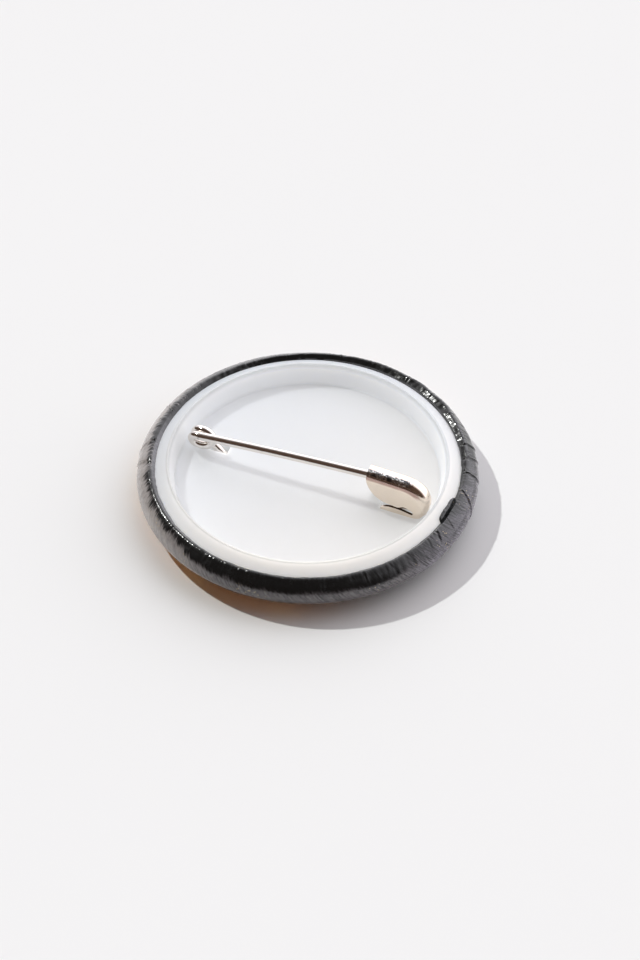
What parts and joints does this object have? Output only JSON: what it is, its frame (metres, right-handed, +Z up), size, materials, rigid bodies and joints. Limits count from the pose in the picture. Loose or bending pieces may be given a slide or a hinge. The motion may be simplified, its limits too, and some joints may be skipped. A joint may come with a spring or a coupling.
{
  "type": "pin-back button badge",
  "caption": "Round pin-back button badge: domed front with a rolled rim, moulded plastic back and a spring wire safety pin that tucks into a folded clasp.",
  "frame": {"origin": "lowest point of the domed front, on the badge's own axis, as it lies face down", "axes": "+Z up out of the back; +X along the pin from its coil to its clasp; the clasp opens towards -Y"},
  "size_m": [0.0318, 0.0318, 0.0061],
  "materials": {
    "clear_film": "clear glossy film, dark with the print under it",
    "printed_paper": "dark printed paper",
    "tinplate": "bare tinplate",
    "white_plastic": "milky white moulded plastic, slightly translucent",
    "nickel_wire": "bright nickel-plated wire",
    "nickel_sheet": "bright nickel-plated sheet"
  },
  "bodies": {
    "badge": {"clear_film": "clear_film", "artwork_disc": "printed_paper", "front_shell": "tinplate", "plastic_back": "white_plastic", "fixed_arm": "nickel_wire", "clasp_cap": "nickel_sheet"},
    "coil": {"spring_coil": "nickel_wire"},
    "needle": {"needle": "nickel_wire"}
  },
  "joints": [
    {"name": "needle_lift", "type": "hinge", "parent": "badge", "child": "coil", "pos_m": [-0.01042, -0.0007, 0.00355], "axis": [0, -1, 0], "range_deg": [-6, 50], "stiffness_Nm_per_rad": 0.01, "deforming": ["spring_coil"]},
    {"name": "needle_sideways", "type": "hinge", "parent": "coil", "child": "needle", "pos_m": [-0.01042, -0.0007, 0.00355], "axis": [0, 0, -1], "range_deg": [-1.4, 0.3], "stiffness_Nm_per_rad": 0.01}
  ]
}
